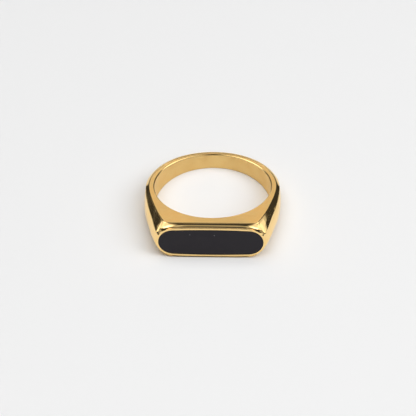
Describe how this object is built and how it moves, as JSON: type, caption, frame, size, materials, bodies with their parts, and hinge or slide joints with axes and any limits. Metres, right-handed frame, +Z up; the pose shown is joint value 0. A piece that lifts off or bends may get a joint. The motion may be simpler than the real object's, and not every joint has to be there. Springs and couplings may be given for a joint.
{
  "type": "signet ring",
  "caption": "Finger ring with a slim flat bar-shaped head, a flush black inlay set in a narrow polished bezel, bevelled shoulders and a band that narrows to the back.",
  "frame": {"origin": "where the axis of the finger hole meets the flat side face that the ring lies on", "axes": "+Z up from the side face the ring lies on, -Y out of the face of the head, X along the head"},
  "size_m": [0.0214, 0.0225, 0.0055],
  "materials": {
    "gold": "polished yellow gold plate, satin side faces",
    "black_stone": "fine matte black",
    "cured_glue": "dull, hidden under the inlay"
  },
  "bodies": {
    "root": {"ring_body": "gold", "black_inlay": "black_stone", "inlay_glue": "cured_glue"}
  },
  "joints": []
}
